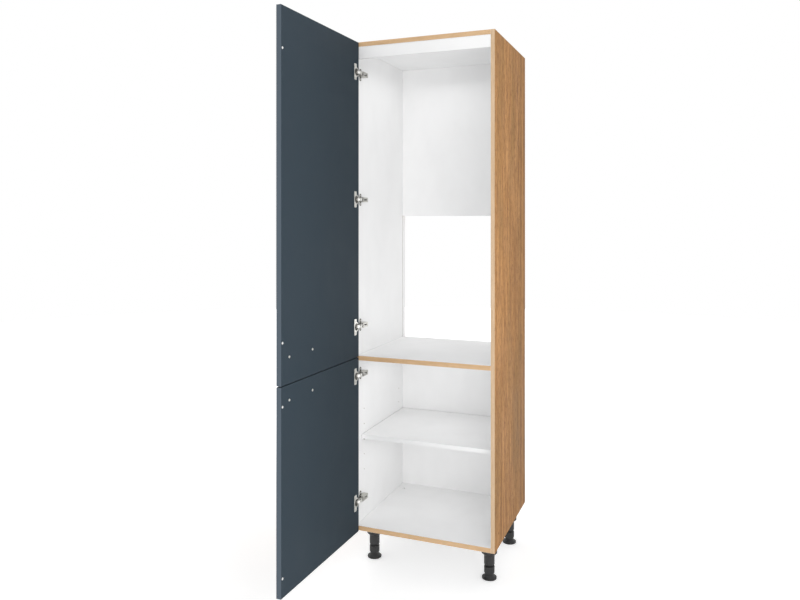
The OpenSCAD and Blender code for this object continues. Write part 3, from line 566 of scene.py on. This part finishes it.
def side_material(name, first_face, direction, finish):
    """A side panel: oak decor outside, white inside and chipboard between. The grain runs along Z."""
    material, nodes, shader, place = new_material(name)
    depth = depth_in_board(nodes, place, "X", first_face, direction)
    outside = nodes.maths("LESS_THAN", depth, finish.face_t)
    inside = nodes.maths("GREATER_THAN", depth, SIDE_T - finish.face_t)
    oak = nodes.group(shared("oak_grain"), Vector=place, Pale=finish.oak_pale, Middle=finish.oak_mid,
                      Olive=finish.oak_olive, Dark=finish.oak_dark)
    decor = with_knots(nodes, place, first_face, with_cracks(nodes, place, oak["Color"], finish), finish)
    # Painted light and shade multiplied into the decor
    decor = nodes.mix(1.0, decor, painted_side_light(nodes, place, finish), "MULTIPLY")
    white = white_face(nodes, place, finish)
    chips = nodes.group(shared("chipboard"), Vector=place, Base=finish.core)
    body = nodes.mix(outside, nodes.mix(inside, chips["Color"], white["Color"]), decor)
    roughness = nodes.maths("ADD", OAK_ROUGH, white["Sheen"])
    roughness = nodes.maths("MULTIPLY_ADD", oak["Height"], OAK_ADDS, roughness)
    height = nodes.maths("ADD", nodes.maths("MULTIPLY", oak["Height"], outside), white["Height"])
    dress(nodes, shader, board_with_painted_shade(nodes, body, finish), roughness, height, WOOD_RELIEF)
    shader.inputs["Specular IOR Level"].default_value = MATT_MIRRORING
    return material


def level_board_material(name, node_name, finish):
    """A board that lies level: white on both faces, with chipboard between them."""
    low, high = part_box(node_name)
    material, nodes, shader, place = new_material(name)
    depth = depth_in_board(nodes, place, "Z", low.z, 1)
    white = white_face(nodes, place, finish)
    chips = nodes.group(shared("chipboard"), Vector=place, Base=finish.core)
    faces = nodes.maths("MAXIMUM", nodes.maths("LESS_THAN", depth, finish.face_t),
                        nodes.maths("GREATER_THAN", depth, high.z - low.z - finish.face_t))
    body = nodes.mix(faces, chips["Color"], white["Color"])
    dress(nodes, shader, board_with_painted_shade(nodes, body, finish), nodes.maths("ADD", WHITE_ROUGH, white["Sheen"]),
          white["Height"], SHEET_RELIEF)
    return material


def white_board_material(finish):
    """A board that is white all round, such as the adjustable shelf and the rail."""
    material, nodes, shader, place = new_material("white_board")
    white = white_face(nodes, place, finish)
    dress(nodes, shader, board_with_painted_shade(nodes, white["Color"], finish),
          nodes.maths("ADD", WHITE_ROUGH, white["Sheen"]), white["Height"], SHEET_RELIEF)
    return material


def back_panel_material(finish):
    """A thin back panel: white in front and bare pressed fibre behind."""
    material, nodes, shader, place = new_material("back_panel")
    depth = depth_in_board(nodes, place, "Y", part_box("back_panel_upper")[0].y, 1)
    bare = nodes.maths("GREATER_THAN", depth, finish.face_t)
    white = white_face(nodes, place, finish)
    fibre = nodes.group(shared("fine_texture"), Vector=place, Scale=FIBRE_GRAIN, Base=finish.fibre,
                        Tone=toned(finish.fibre, 1.3), Mottle=0.5)
    roughness = nodes.maths("ADD", BACK_ROUGH, white["Sheen"])
    roughness = nodes.maths("MULTIPLY_ADD", bare, FIBRE_ADDS, roughness)
    height = nodes.maths("ADD", white["Height"], fibre["Height"])
    body = nodes.mix(bare, white["Color"], fibre["Color"])
    dress(nodes, shader, board_with_painted_shade(nodes, body, finish), roughness, height, WOOD_RELIEF)
    return material


def band_material(name, turn, pale, middle, finish):
    """A front band of paler oak, whose colours partly hold painted light of the front edges, which face the
    lamps. The turn lays the grain along the band.
    """
    material, nodes, shader, place = new_material(name)
    laid = nodes.add("ShaderNodeMapping", None, Vector=place, Rotation=turn).outputs[0]
    oak = nodes.group(shared("oak_grain"), Vector=laid, Pale=pale, Middle=middle, Olive=middle,
                      Dark=finish.band_dark, Figure=0.25)
    dress(nodes, shader, oak["Color"], nodes.maths("MULTIPLY_ADD", oak["Height"], BAND_ADDS, BAND_ROUGH),
          oak["Height"], WOOD_RELIEF)
    return material


def door_material(finish):
    """Matt paint on a smooth door: a fine peel, faint changes of tone, painted light that makes it darker at
    the hinges and brighter at the free edge, and a paler band on the free edge.
    """
    material, nodes, shader, place = new_material("slate_paint")
    along = nodes.vectors("DOT_PRODUCT", place, DOOR_ALONG)["Value"]
    ends = [Vector(vertex.co).dot(DOOR_ALONG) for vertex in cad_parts["upper_door"].data.vertices]
    hinge_end, free_end = min(ends), max(ends)
    band = nodes.maths("GREATER_THAN", along, free_end - finish.edge_t)
    # Painted light and shade from the hinges to the free edge
    shade = nodes.soft_step(along, hinge_end, free_end, *finish.painted_light_along)
    base = nodes.mix(band, nodes.mix(1.0, finish.slate, shade, "MULTIPLY"), finish.edge)
    lighter = nodes.mix(1.0, base, (1.35, 1.35, 1.35), "MULTIPLY")
    paint = nodes.group(shared("fine_texture"), Vector=place, Scale=PAINT_GRAIN, Base=base, Tone=lighter,
                        Mottle=finish.mottle)
    dress(nodes, shader, paint["Color"], nodes.maths("ADD", PAINT_ROUGH, paint["Sheen"]), paint["Height"],
          finish.peel)
    shader.inputs["Specular IOR Level"].default_value = MATT_MIRRORING
    return material


def metal_material(name, bright, dull, roughness, reach, scratches=NICKEL_SCRATCHES):
    """Plated or brushed metal: grey patches, scratches laid one way, uneven gloss and painted shade in its
    hollows.
    """
    material, nodes, shader, place = new_material(name)
    patch = nodes.noise(place, METAL_PATCHES, detail=4, roughness=0.6)
    scratch = nodes.noise(place, scratches, roughness=0.6)
    tone = nodes.mix(nodes.soft_step(patch, 0.42, 0.75), bright, dull)
    # Painted shade darkens the metal in its hollows
    dress(nodes, shader, nodes.mix(painted_shade_mask(nodes, reach), tone, METAL_PAINTED_SHADE),
          nodes.maths("MULTIPLY_ADD", scratch, SCRATCH_ADDS, roughness), scratch, SCRATCH_RELIEF)
    shader.inputs["Metallic"].default_value = 1.0
    return material


def plastic_material(name, base, tone, roughness, grain, reach=6 * MM):
    """Moulded plastic with a fine texture, a faint bloom and painted shade in its hollows."""
    material, nodes, shader, place = new_material(name)
    skin = nodes.group(shared("fine_texture"), Vector=place, Scale=grain, Base=base, Tone=tone, Mottle=0.5)
    # Painted shade darkens the plastic in its hollows
    dress(nodes, shader, nodes.mix(painted_shade_mask(nodes, reach), skin["Color"], toned(base, 0.06)),
          nodes.maths("ADD", roughness, skin["Sheen"]), skin["Height"], SHEET_RELIEF)
    return material


def foot_material(leg_place, finish):
    """The plastic of one foot, with a thread on its spindle: a triangle wave of the height and the turn."""
    low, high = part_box("leg_foot_" + leg_place)
    centre = (low + high) / 2
    material, nodes, shader, place = new_material("black_plastic_foot_" + leg_place)
    skin = nodes.group(shared("fine_texture"), Vector=place, Scale=LEG_GRAIN, Base=finish.black,
                       Tone=finish.scuff, Mottle=0.5)
    axes = nodes.axes(nodes.vectors("SUBTRACT", place, (centre.x, centre.y, low.z))["Vector"])
    turn = nodes.maths("DIVIDE", nodes.maths("ARCTAN2", axes["Y"], axes["X"]), 2 * math.pi)
    rise = nodes.maths("ADD", nodes.maths("DIVIDE", axes["Z"], finish.pitch), turn)
    thread = nodes.maths("MULTIPLY", nodes.maths("PINGPONG", rise, 0.5),
                         nodes.maths("GREATER_THAN", axes["Z"], SPINDLE_Z))
    height = nodes.maths("MULTIPLY_ADD", thread, THREAD_HEIGHT, skin["Height"])
    dress(nodes, shader, skin["Color"], nodes.maths("ADD", LEG_ROUGH, skin["Sheen"]), height, SHEET_RELIEF)
    return material


def dowel_material(finish):
    """Plain beech with its grain along the dowel."""
    material, nodes, shader, place = new_material("beech_dowel")
    grain = nodes.noise(place, BEECH_GRAIN)
    dress(nodes, shader, nodes.mix(grain, finish.beech_dark, finish.beech_pale),
          nodes.maths("MULTIPLY_ADD", grain, BEECH_ADDS, BEECH_ROUGH), grain, WOOD_RELIEF)
    return material


def ring_faces(rings, corners):
    """Corner numbers of the faces between rings of points, of which each is closed."""
    ring, corner = np.meshgrid(np.arange(rings - 1), np.arange(corners), indexing="ij")
    first = ring * corners + corner
    right = ring * corners + (corner + 1) % corners
    return np.stack([first, right, right + corners, first + corners], axis=-1).reshape(-1, 4)


def mesh_object(name, points, faces, material, smooth_angle=None):
    """A mesh from an array of points and an array or list of faces, put in the scene with its material."""
    mesh = bpy.data.meshes.new(name)
    mesh.from_pydata(np.asarray(points, float).reshape(-1, 3).tolist(), [], [list(face) for face in faces])
    mesh.validate()
    mesh.materials.append(material)
    thing = bpy.data.objects.new(name, mesh)
    bpy.context.scene.collection.objects.link(thing)
    if smooth_angle is not None:
        mesh.shade_smooth()
        mesh.set_sharp_from_angle(angle=smooth_angle)
    return thing


def band_surface(low, high, along, finish):
    """Points and faces of a front band over the edge of a board.

    The section is a flat bar whose two front corners are quarter circles: a point of the arc is the corner's
    centre plus the rounding times the cosine and sine of the angle. The section is carried along the board in
    even steps, and each end is one face.
    """
    rounding = finish.band_round
    across = "z" if along == "x" else "x"
    start, end = getattr(low, across), getattr(high, across)
    front = low.y - finish.band_proud
    back = low.y + finish.band_t
    arc = np.linspace(0, math.pi / 2, ARC_POINTS)
    cosine, sine = rounding * np.cos(arc), rounding * np.sin(arc)
    near = np.stack([start + rounding - cosine, front + rounding - sine], axis=1)
    far = np.stack([end - rounding + sine, front + rounding - cosine], axis=1)
    section = np.concatenate([[[start, back]], near, far, [[end, back]]])
    count = len(section)
    places = np.linspace(getattr(low, along), getattr(high, along), BAND_PLACES)
    points = np.empty((BAND_PLACES, count, 3))
    points[..., 1] = section[:, 1]
    points[..., "xyz".index(across)] = section[:, 0]
    points[..., "xyz".index(along)] = places[:, None]
    faces = ring_faces(BAND_PLACES, count).tolist()
    faces.append(list(range(count)))
    faces.append([count * (BAND_PLACES - 1) + index for index in reversed(range(count))])
    return points, faces


def dome_surface(centre, axis, radius, height):
    """Points and faces of a domed head.

    The dome is a quarter ellipse turned about the axis: at the angle a up the arc, a ring has the radius
    times cosine a, and lies at the height times sine a.
    """
    axis = np.asarray(axis, float)
    side = np.cross(axis, (1, 0, 0) if abs(axis[0]) < 0.9 else (0, 1, 0))
    side /= np.linalg.norm(side)
    other = np.cross(axis, side)
    climb = np.linspace(0, 0.5 * math.pi * DOME_CLIMB, DOME_RINGS)[:, None, None]
    turn = np.linspace(0, 2 * math.pi, DOME_CORNERS, endpoint=False)[None, :, None]
    ring = np.cos(turn) * side + np.sin(turn) * other
    points = np.asarray(centre, float) + radius * np.cos(climb) * ring + height * np.sin(climb) * axis
    faces = ring_faces(DOME_RINGS, DOME_CORNERS).tolist()
    faces.append([(DOME_RINGS - 1) * DOME_CORNERS + index for index in range(DOME_CORNERS)])
    return points.reshape(-1, 3), faces


def floor_surface():
    """Points and faces of the round floor: rings of points at even steps of the radius, facing up."""
    radius = np.linspace(0, FLOOR_R, FLOOR_RINGS + 1)[1:, None, None]
    turn = np.linspace(0, 2 * math.pi, FLOOR_CORNERS, endpoint=False)[None, :, None]
    points = radius * np.concatenate([np.cos(turn), np.sin(turn), 0 * turn], axis=2)
    faces = ring_faces(FLOOR_RINGS, FLOOR_CORNERS)[:, ::-1].tolist()
    return points, faces + [list(range(FLOOR_CORNERS))]


def joined(surfaces):
    """Several surfaces as one set of points and faces."""
    points, faces, offset = [], [], 0
    for some_points, some_faces in surfaces:
        points.append(some_points)
        faces += [[offset + index for index in face] for face in some_faces]
        offset += len(some_points)
    return np.concatenate(points), faces


def mend_normals(thing):
    """Turns the faces of a closed surface outwards."""
    work = bmesh.new()
    work.from_mesh(thing.data)
    bmesh.ops.recalc_face_normals(work, faces=work.faces)
    work.to_mesh(thing.data)
    work.free()


def hinge_nodes(part):
    """The five nodes of one part of the hinges."""
    return [f"{part}_{number}" for number in range(1, HINGE_COUNT + 1)]


class CABINET_OT_boards(bpy.types.Operator):
    """Gives the sides, level boards, rail, shelf, back panels and dowels their finish"""

    bl_idname = "cabinet.boards"
    bl_label = "Boards"

    def execute(self, context):
        finish = context.scene.board_finish
        wear(["side_left"], side_material("oak_side_left", SIDE_LEFT[0].x, 1, finish))
        wear(["side_right"], side_material("oak_side_right", SIDE_RIGHT[1].x, -1, finish))
        for name in LEVEL_BOARDS:
            wear([name], level_board_material("white_" + name, name, finish))
        wear(["front_rail", "adjustable_shelf"], white_board_material(finish))
        wear(["back_panel_upper", "back_panel_lower"], back_panel_material(finish))
        wear(["carcass_dowels"], dowel_material(finish))
        return {"FINISHED"}


class CABINET_OT_front_bands(bpy.types.Operator):
    """Adds the paler oak bands on the front edges of the boards"""

    bl_idname = "cabinet.front_bands"
    bl_label = "Front bands"

    def execute(self, context):
        finish = context.scene.board_finish
        upright = band_material("oak_band_upright", (0, 0, 0), finish.band_pale, finish.band_mid, finish)
        level = band_material("oak_band_level", (0, math.radians(90), 0), finish.level_pale, finish.level_mid,
                              finish)
        boards = [(name, "z", upright) for name in ("side_left", "side_right")]
        boards += [(name, "x", level) for name in LEVEL_BOARDS]
        for name, along, material in boards:
            points, faces = band_surface(*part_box(name), along, finish)
            band = mesh_object(name + "_front_band", points, faces, material, BAND_SMOOTH)
            mend_normals(band)
            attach(band, "carcass")
        return {"FINISHED"}


class CABINET_OT_doors(bpy.types.Operator):
    """Paints the two doors and finishes their buffers"""

    bl_idname = "cabinet.doors"
    bl_label = "Doors"

    def execute(self, context):
        finish = context.scene.door_finish
        wear(["upper_door", "lower_door"], door_material(finish))
        milky = plastic_material("buffer_plastic", finish.buffer, finish.buffer_bloom, roughness=0.22,
                                 grain=MILKY_GRAIN)
        wear(["upper_door_buffers", "lower_door_buffers"], milky)
        return {"FINISHED"}


class CABINET_OT_metal(bpy.types.Operator):
    """Finishes the hinges, screws, shelf pins and handles, and adds the rivet heads"""

    bl_idname = "cabinet.metal"
    bl_label = "Metal"

    def execute(self, context):
        finish = context.scene.metal_finish
        nickel = metal_material("nickel_steel", finish.nickel, finish.tarnish, roughness=0.22, reach=25 * MM)
        wear(["plate_screws", "upper_cup_screws", "lower_cup_screws", "shelf_pins"], nickel)
        wear(["upper_handle_screws", "lower_handle_screws"], nickel)
        wear(hinge_nodes("hinge_cup"), nickel)
        # Links get the brighter plated steel, a painted highlight
        link = metal_material("nickel_link", finish.link, finish.nickel, roughness=0.30, reach=4 * MM)
        wear(hinge_nodes("inner_link") + hinge_nodes("outer_link"), link)
        # Arms get the darker plated steel, a painted shade
        arm = metal_material("nickel_arm", finish.arm, finish.tarnish, roughness=0.26, reach=10 * MM)
        wear(hinge_nodes("hinge_arm"), arm)
        cast = metal_material("cast_plate", finish.plate, toned(finish.plate, 0.8), roughness=0.40,
                              reach=20 * MM)
        wear(hinge_nodes("hinge_plate"), cast)
        self.add_rivets(finish, link)
        brushed = metal_material("handle_metal", finish.handle, toned(finish.handle, 0.8), roughness=0.28,
                                 reach=5 * MM, scratches=BRUSHED_SCRATCHES)
        wear(["upper_handle", "lower_handle"], brushed)
        return {"FINISHED"}

    def add_rivets(self, finish, material):
        """Domed heads over the ends of the two pins at the tip of each arm."""
        surfaces = []
        for arm in hinge_nodes("hinge_arm"):
            low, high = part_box(arm)
            middle = (low.z + high.z) / 2
            outer = (high.x - TIP_EYE_R, low.y + TIP_EYE_R + PIN_STEP[1])
            inner = (outer[0] - PIN_STEP[0], low.y + TIP_EYE_R)
            for x, y in (outer, inner):
                for side in (-1, 1):
                    end = (x, y, middle + side * TIP_HALF)
                    surfaces.append(dome_surface(end, (0, 0, side), finish.rivet_r, finish.rivet_h))
        rivets = mesh_object("hinge_rivets", *joined(surfaces), material, DOME_SMOOTH)
        mend_normals(rivets)
        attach(rivets, "carcass")


class CABINET_OT_legs(bpy.types.Operator):
    """Finishes the legs and the bushes in the bottom panel, and adds the small cap on the left side"""

    bl_idname = "cabinet.legs"
    bl_label = "Legs"

    def execute(self, context):
        finish = context.scene.leg_finish
        plain = plastic_material("black_plastic", finish.black, finish.scuff, LEG_ROUGH, LEG_GRAIN)
        for leg_place in LEG_PLACES:
            wear(["leg_head_" + leg_place, "leg_sleeve_" + leg_place], plain)
            wear(["leg_foot_" + leg_place], foot_material(leg_place, finish))
        white = plastic_material("white_plastic", finish.white, finish.white_bloom, roughness=0.25,
                                 grain=MILKY_GRAIN, reach=20 * MM)
        wear(["access_bushes"], white)
        points, faces = dome_surface((SIDE_LEFT[1].x, *CAP_PLACE), (1, 0, 0), CAP_R, CAP_H)
        cap = mesh_object("side_cap", points, faces, white, DOME_SMOOTH)
        mend_normals(cap)
        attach(cap, "carcass")
        return {"FINISHED"}


def area_lamp(name, place, target, size, power, hidden=False):
    """A square soft lamp that looks at a point. A hidden one lights things without being seen or mirrored."""
    data = bpy.data.lights.new(name, "AREA")
    data.shape = "SQUARE"
    data.size = size
    data.energy = power
    lamp = bpy.data.objects.new(name, data)
    lamp.location = place
    lamp.rotation_euler = (Vector(target) - Vector(place)).to_track_quat("-Z", "Y").to_euler()
    lamp.visible_camera = not hidden
    lamp.visible_glossy = not hidden
    bpy.context.scene.collection.objects.link(lamp)


def seen_directly(nodes):
    """1 for what the camera sees by itself or in a mirroring or clear thing, and 0 for what lights things."""
    rays = nodes.add("ShaderNodeLightPath").outputs
    mirrored = nodes.maths("MAXIMUM", rays["Is Glossy Ray"], rays["Is Transmission Ray"])
    return nodes.maths("MAXIMUM", rays["Is Camera Ray"], mirrored)


def floor_material(look):
    """A pale floor that keeps the cabinet's shadow and fades to white far off."""
    material, nodes, shader, place = new_material("studio_floor")
    grain = nodes.noise(place, FLOOR_GRAIN)
    tone = nodes.mix(nodes.maths("MULTIPLY", grain, 0.04), look.floor, toned(look.floor, 0.9))
    nodes.feed(shader.inputs["Base Color"], tone)
    nodes.feed(shader.inputs["Roughness"], nodes.maths("MULTIPLY_ADD", grain, FLOOR_ADDS, FLOOR_ROUGH))
    shader.inputs["Specular IOR Level"].default_value = FLOOR_MIRRORING
    distance = nodes.vectors("LENGTH", place)["Value"]
    glow = nodes.soft_step(distance, *FLOOR_FADE, look.floor_glow, 1.0)
    white = nodes.add("ShaderNodeEmission", None, Color=(1, 1, 1),
                      Strength=nodes.maths("MULTIPLY", glow, seen_directly(nodes)))
    both = nodes.add("ShaderNodeAddShader")
    nodes.feed(both.inputs[0], shader.outputs[0])
    nodes.feed(both.inputs[1], white.outputs[0])
    nodes.feed(material.node_tree.nodes["Material Output"].inputs["Surface"], both.outputs[0])
    return material


def studio_world(look):
    """Even light from all round that the camera sees as white."""
    world = bpy.data.worlds.new("studio_world")
    world.use_nodes = True
    nodes = NodeTree(world.node_tree)
    background = world.node_tree.nodes["Background"]
    nodes.feed(background.inputs["Color"], (1, 1, 1))
    nodes.feed(background.inputs["Strength"],
               nodes.maths("MULTIPLY_ADD", seen_directly(nodes), 1 - look.sky, look.sky))
    return world


class CABINET_OT_stage(bpy.types.Operator):
    """Sets the floor, the even light, the lamps and the camera"""

    bl_idname = "cabinet.stage"
    bl_label = "Stage"

    def execute(self, context):
        scene = context.scene
        look = scene.studio_look
        floor = mesh_object("studio_floor", *floor_surface(), floor_material(look))
        scene.world = studio_world(look)
        area_lamp("low_lamp", *LOW_LAMP, look.low)
        area_lamp("door_lamp", *DOOR_LAMP, look.door, hidden=True)
        for (name, height, rise), power in zip(INNER_LAMPS, look.inside):
            area_lamp(name, (*INNER_PLACE, height), (*INNER_PLACE, height + rise), INNER_SIZE, power,
                      hidden=True)
        scene.view_settings.view_transform = "Standard"
        self.add_camera(scene, look)
        return {"FINISHED"}

    def add_camera(self, scene, look):
        """A level camera whose picture is shifted in place of a tilt."""
        data = bpy.data.cameras.new("photo_camera")
        data.lens = look.lens
        data.sensor_width = FILM_WIDTH
        data.shift_x = look.shift_x
        data.shift_y = look.shift_y
        camera = bpy.data.objects.new("photo_camera", data)
        camera.location = CAMERA_PLACE
        camera.rotation_euler = (math.radians(90), 0, look.turn)
        scene.collection.objects.link(camera)
        scene.camera = camera


class CABINET_PT_panel(bpy.types.Panel):
    """Lists the steps of the cabinet's finish and their values"""

    bl_idname = "CABINET_PT_panel"
    bl_label = "Fridge Housing Unit"
    bl_space_type = "VIEW_3D"
    bl_region_type = "UI"
    bl_category = "Cabinet"

    def draw(self, context):
        for step in STEPS:
            self.layout.operator(step.bl_idname)
        for name, group in FINISHES.items():
            box = self.layout.box()
            values = getattr(context.scene, name)
            for entry in group.__annotations__:
                box.prop(values, entry)


STEPS = (CABINET_OT_boards, CABINET_OT_front_bands, CABINET_OT_doors, CABINET_OT_metal, CABINET_OT_legs,
         CABINET_OT_stage)
FINISHES = {
    "board_finish": BoardFinish,
    "door_finish": DoorFinish,
    "metal_finish": MetalFinish,
    "leg_finish": LegFinish,
    "studio_look": StudioLook,
}


def register():
    for group in FINISHES.values():
        bpy.utils.register_class(group)
    for name, group in FINISHES.items():
        setattr(bpy.types.Scene, name, PointerProperty(type=group))
    for step in (*STEPS, CABINET_PT_panel):
        bpy.utils.register_class(step)


def unregister():
    for step in reversed((*STEPS, CABINET_PT_panel)):
        bpy.utils.unregister_class(step)
    for name, group in FINISHES.items():
        delattr(bpy.types.Scene, name)
        bpy.utils.unregister_class(group)


def main():
    """Makes every finish and piece in order."""
    register()
    for step in STEPS:
        area, name = step.bl_idname.split(".")
        getattr(getattr(bpy.ops, area), name)()


if __name__ == "__main__":
    main()
